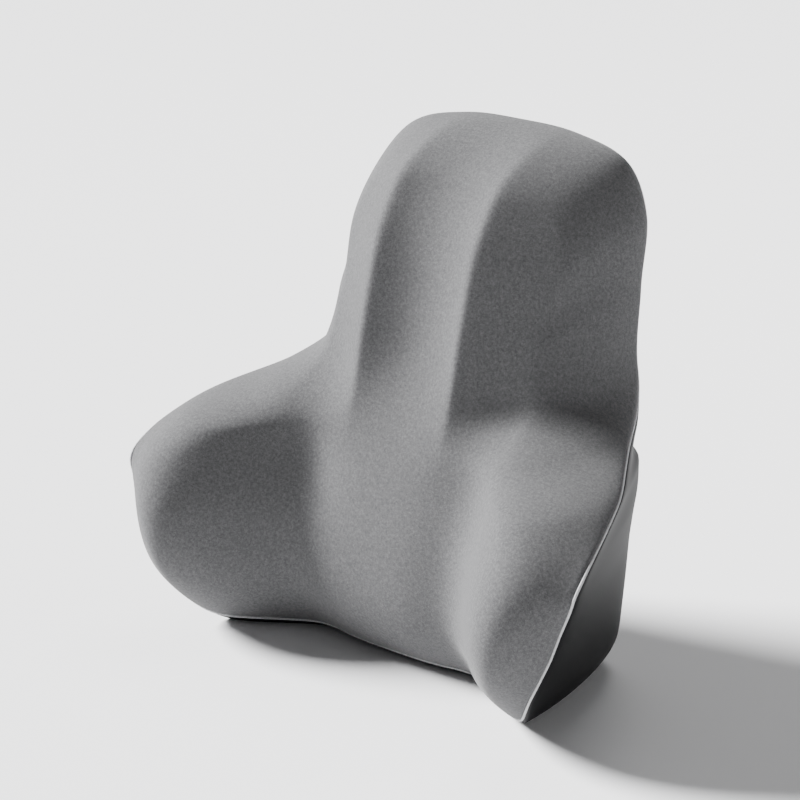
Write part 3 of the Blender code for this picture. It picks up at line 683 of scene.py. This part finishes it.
def stitchRun(start, end, height, inset=0.0):
    # spots for stitches from one point to another on the rear, X and Z
    run = math.hypot(end[0] - start[0], end[1] - start[1])
    count = max(1, round((run - 2 * inset) / zipper["stitchPitch"]))
    turn = -math.atan2(end[1] - start[1], end[0] - start[0])
    shares = [(inset + (run - 2 * inset) * (k + 0.5) / count) / run for k in range(count)]
    return [(start[0] + (end[0] - start[0]) * share, height, start[1] + (end[1] - start[1]) * share, turn)
            for share in shares]


def buildZip():
    z = zipper
    matrix = rearMatrix(z["height"])
    half, slot = z["length"] / 2, z["slotHalf"]
    corner = slot * 0.6
    path = []
    for x, up, start in ((half, slot, 0.0), (-half, slot, 0.5), (-half, -slot, 1.0), (half, -slot, 1.5)):
        middleX, middleZ = math.copysign(half - corner, x), math.copysign(slot - corner, up)
        for step in range(7):
            angle = math.pi * (start + step / 12)
            path.append((middleX + corner * math.cos(angle), middleZ + corner * math.sin(angle)))
    ring = np.array(path)
    ahead = np.roll(ring, -1, axis=0) - np.roll(ring, 1, axis=0)
    ahead /= np.linalg.norm(ahead, axis=1)[:, None]
    rows = []
    for k in range(8):
        angle = math.tau * k / 8
        out = z["lipRadius"] * math.cos(angle)
        rise = z["lipRadius"] * (math.sin(angle) - 0.7)
        rows.append([matrix @ Vector((x + out * dz, rise, up - out * dx))
                     for (x, up), (dx, dz) in zip(ring, ahead)])
    lip = meshFromRows("zip_slot_hem", np.array(rows), False, False, ringClosed=True)
    finishPiece(lip, "rearKnit", "cushion", "rear_knit")
    spots = []
    for side in (-1, 1):
        up = side * (slot + z["stitchGap"])
        spots += stitchRun((-half - z["stitchGap"], up), (half + z["stitchGap"], up), 0.0001)
        end = side * (half + z["stitchGap"])
        spots += stitchRun((end, -slot - z["stitchGap"]), (end, slot + z["stitchGap"]), 0.0001)
    buildStitches("zip_top_stitching", spots, matrix, "rear_knit")
    for name, side in (("upper", 1), ("lower", -1)):
        wide, deep, long = z["toothSize"]
        tooth = addBox("tooth", (-wide / 2, wide / 2), (-deep * 0.93, deep * 0.07), (-long / 2, long / 2))
        bevelEdges(tooth, wide * 0.32, 2)
        count = int((z["chainEnd"] - z["chainStart"]) / z["toothPitch"])
        first = z["chainStart"] + (0.75 if side > 0 else 0.25) * z["toothPitch"]
        places = [matrix @ Matrix.Translation((first + z["toothPitch"] * k, 0.0, side * z["toothMiddle"]))
                  for k in range(count)]
        teeth = joinCopies("zip_teeth_" + name, tooth, places)
        finishPiece(teeth, "nylon", "cushion", "zip_nylon", "zip_chain_" + name)


def roundedPath(points, radius, steps=6):
    path = [np.array(points[0])]
    for before, corner, after in zip(points, points[1:], points[2:]):
        before, corner, after = np.array(before), np.array(corner), np.array(after)
        into, out = corner - before, after - corner
        reach = min(radius, np.linalg.norm(into) * 0.45, np.linalg.norm(out) * 0.45)
        start = corner - into / np.linalg.norm(into) * reach
        end = corner + out / np.linalg.norm(out) * reach
        for step in range(steps + 1):
            t = step / steps
            path.append((1 - t) ** 2 * start + 2 * t * (1 - t) * corner + t**2 * end)
    path.append(np.array(points[-1]))
    dense = [path[0]]
    for low, high in zip(path, path[1:]):
        run = np.linalg.norm(high - low)
        count = math.ceil(run / 0.002) if run > 1e-6 else 0
        dense += [low + (high - low) * (k + 1) / count for k in range(count)]
    return np.array(dense)


def buildWebbing(name, path, node):
    # a flat woven band with rounded selvedges, swept along its path
    t = strap
    line = roundedPath(path, t["foldRadius"])
    ahead = np.gradient(line, axis=0)
    ahead /= np.linalg.norm(ahead, axis=1)[:, None]
    matrix = rearMatrix(t["height"])
    half, thick = t["width"] / 2, t["thickness"] / 2
    across = np.linspace(-1.0, 1.0, 13)
    section = [(half * share, thick * (1.0 if abs(share) < 0.95 else 0.45)) for share in across]
    section += [(half * share, -thick * (1.0 if abs(share) < 0.95 else 0.45)) for share in across[::-1]]
    rows = []
    for width, rise in section:
        rows.append([matrix @ Vector((x - dy * rise, y + dx * rise, width))
                     for (x, y), (dx, dy) in zip(line, ahead)])
    rings = np.array(rows).transpose(1, 0, 2)
    made = meshFromRows(name, rings, False, False)
    shape = bmesh.new()
    shape.from_mesh(made.data)
    shape.verts.ensure_lookup_table()
    count = len(section)
    shape.faces.new([shape.verts[k] for k in range(count)])
    shape.faces.new([shape.verts[len(shape.verts) - count + k] for k in range(count)][::-1])
    bmesh.ops.recalc_face_normals(shape, faces=shape.faces)
    shape.to_mesh(made.data)
    shape.free()
    smoothByAngle(made, 50)
    return finishPiece(made, "webbing", "cushion", "webbing", node)


def buildStraps():
    t = strap
    left = buildWebbing("webbing_left", t["left"], "strap_left")
    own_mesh(left)
    buildWebbing("webbing_right", t["right"], "strap_right")
    matrix = rearMatrix(t["height"])
    for name, side in (("left", -1), ("right", 1)):
        ends = sorted((side * t["patchInner"], side * t["patchOuter"]))
        thick = (t["patchBase"], t["patchTop"])
        patch = addBox("patch_" + name, ends, thick, (-t["patchHalf"], t["patchHalf"]))
        bevelEdges(patch, 0.003, 4, along=1)
        bevelEdges(patch, 0.0004, 2)
        patch.data.transform(matrix)
        smoothByAngle(patch, 40)
        finishPiece(patch, "webbing", "cushion", "webbing", "strap_patch_" + name)
        low, high, edge = ends[0] + t["hemInset"], ends[1] - t["hemInset"], t["patchHalf"] - t["hemInset"]
        spots = []
        for up in (-edge, edge):
            spots += stitchRun((low, up), (high, up), t["patchTop"] + t["threadRise"])
        top = t["left"][0][1] + t["thickness"] / 2 + t["threadRise"]
        near, far = sorted((side * (t["patchInner"] + t["boxInset"]), side * t["boxOuter"]))
        box = t["boxHalf"]
        for start, end in (((near, -box), (far, -box)), ((near, box), (far, box)),
                           ((near, -box), (near, box)), ((far, -box), (far, box)),
                           ((near, -box), (far, box)), ((near, box), (far, -box))):
            spots += stitchRun(start, end, top, t["stitchInset"])
        buildStitches("patch_stitching_" + name, spots, matrix, "webbing")


def roundNode(name, node, finish, body, slotName, width):
    # a CAD piece with its edges rounded as a mould leaves them
    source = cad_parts[node]
    mesh = source.data.copy()
    mesh.transform(source.matrix_world)
    made = bpy.data.objects.new(name, mesh)
    bpy.context.collection.objects.link(made)
    shape = bmesh.new()
    shape.from_mesh(mesh)
    bmesh.ops.remove_doubles(shape, verts=shape.verts, dist=1e-6)
    bmesh.ops.dissolve_limit(shape, angle_limit=math.radians(1), verts=shape.verts, edges=shape.edges)
    shape.to_mesh(mesh)
    shape.free()
    edge = made.modifiers.new("edge", "BEVEL")
    edge.width = width
    edge.segments = 3
    edge.limit_method = "ANGLE"
    edge.angle_limit = math.radians(30)
    edge.use_clamp_overlap = True
    applyModifiers(made)
    smoothByAngle(made, 35)
    return finishPiece(made, finish, body, slotName, node)


def buildHardware():
    roundNode("socket_shell", "buckle_socket", "acetal", "cushion", "acetal", 0.0008)
    roundNode("plug_shell", "buckle_plug", "acetal", "plug", "acetal", 0.0006)
    roundNode("arm_upper_shell", "release_arm_upper", "acetal", "arm_upper", "acetal", 0.0005)
    roundNode("arm_lower_shell", "release_arm_lower", "acetal", "arm_lower", "acetal", 0.0005)
    roundNode("keeper_loop", "strap_keeper", "acetal", "keeper", "acetal", 0.0004)
    roundNode("slider_body", "zip_slider", "zinc", "slider", "zip_metal", 0.0003)
    roundNode("pull_tab", "zip_pull", "zinc", "pull", "zip_metal", 0.0003)
    roundNode("end_stop", "zip_end_stop", "zinc", "cushion", "zip_metal", 0.0003)
    for side in ("upper", "lower"):
        roundNode("top_stop_" + side, "zip_top_stop_" + side, "zinc", "cushion", "zip_metal", 0.0003)
        roundNode("tape_" + side, "zip_tape_" + side, "zipTape", "cushion", "zip_tape", 0.0001)


studio = {
    "target": (0.0, -0.0168, 0.20), "azimuth": 40.0, "elevation": 19.5, "distance": 2.2,
    "focalPixels": 2824.0, "imagePixels": 800.0, "centreX": 407.5, "centreY": 415.3, "floorSize": 60.0,
    "keyPlace": (-2.3, -0.7, 1.6), "keyEnergy": 16.5, "keySpread": 18.0,
    "rimPlace": (1.35, 1.75, 0.8), "rimTarget": (0.1, 0.0, 0.2), "rimSize": 0.7, "rimPower": 9.0,
    "topPlace": (-0.3, 1.1, 2.4), "topTarget": (0.0, 0.0, 0.2), "topSize": 1.2, "topPower": 16.0,
    "worldColour": "#f4f4f6", "worldStrength": 0.13,
}


def buildFloor():
    bpy.ops.object.select_all(action="DESELECT")
    bpy.ops.mesh.primitive_plane_add(size=studio["floorSize"], location=(0, 0, -0.0002))
    floor = bpy.context.active_object
    floor.name = "studio_floor"
    material, tree, shader = newMaterial("matt_paper_sweep", {
        "Base Color": hexColour("#fafafb"), "Roughness": 0.9})
    floor.data.materials.append(material)


def aimAt(item, place, target):
    item.location = place
    item.rotation_euler = (Vector(target) - Vector(place)).to_track_quat("-Z", "Y").to_euler()


def buildCamera():
    s = studio
    azimuth, elevation = math.radians(s["azimuth"]), math.radians(s["elevation"])
    level = math.cos(elevation)
    away = (math.sin(azimuth) * level, -math.cos(azimuth) * level, math.sin(elevation))
    place = [s["target"][k] + away[k] * s["distance"] for k in range(3)]
    data = bpy.data.cameras.new("portrait_camera")
    data.sensor_width = 36.0
    data.lens = s["focalPixels"] / s["imagePixels"] * data.sensor_width
    data.shift_x = -(s["centreX"] - s["imagePixels"] / 2) / s["imagePixels"]
    data.shift_y = (s["centreY"] - s["imagePixels"] / 2) / s["imagePixels"]
    camera = bpy.data.objects.new("portrait_camera", data)
    bpy.context.collection.objects.link(camera)
    aimAt(camera, place, s["target"])
    bpy.context.scene.camera = camera


def softBox(name, place, target, size, power):
    data = bpy.data.lights.new(name, "AREA")
    data.shape = "DISK"
    data.size = size
    data.energy = power
    lamp = bpy.data.objects.new(name, data)
    bpy.context.collection.objects.link(lamp)
    aimAt(lamp, place, target)


def sunLamp(name, place, energy, spread):
    data = bpy.data.lights.new(name, "SUN")
    data.energy = energy
    data.angle = math.radians(spread)
    lamp = bpy.data.objects.new(name, data)
    bpy.context.collection.objects.link(lamp)
    aimAt(lamp, place, (0.0, 0.0, 0.0))


def buildLight():
    s = studio
    sunLamp("key_light", s["keyPlace"], s["keyEnergy"], s["keySpread"])
    softBox("rim_softbox", s["rimPlace"], s["rimTarget"], s["rimSize"], s["rimPower"])
    softBox("top_softbox", s["topPlace"], s["topTarget"], s["topSize"], s["topPower"])
    world = bpy.data.worlds.new("studio_world")
    bpy.context.scene.world = world
    world.use_nodes = True
    background = world.node_tree.nodes["Background"]
    background.inputs["Color"].default_value = hexColour(s["worldColour"])
    background.inputs["Strength"].default_value = s["worldStrength"]


buildCushion()
buildInner("moulded_foam", cushion["foamDepth"], "foam", "foam", "foam_core")
buildInner("foam_liner", cushion["linerDepth"], "liner", "liner", "inner_liner")
print("cushion built")
buildZip()
buildStraps()
print("zip and straps built")
buildHardware()
print("buckle and zip metal rounded")
buildFloor()
buildCamera()
buildLight()
print("studio built")
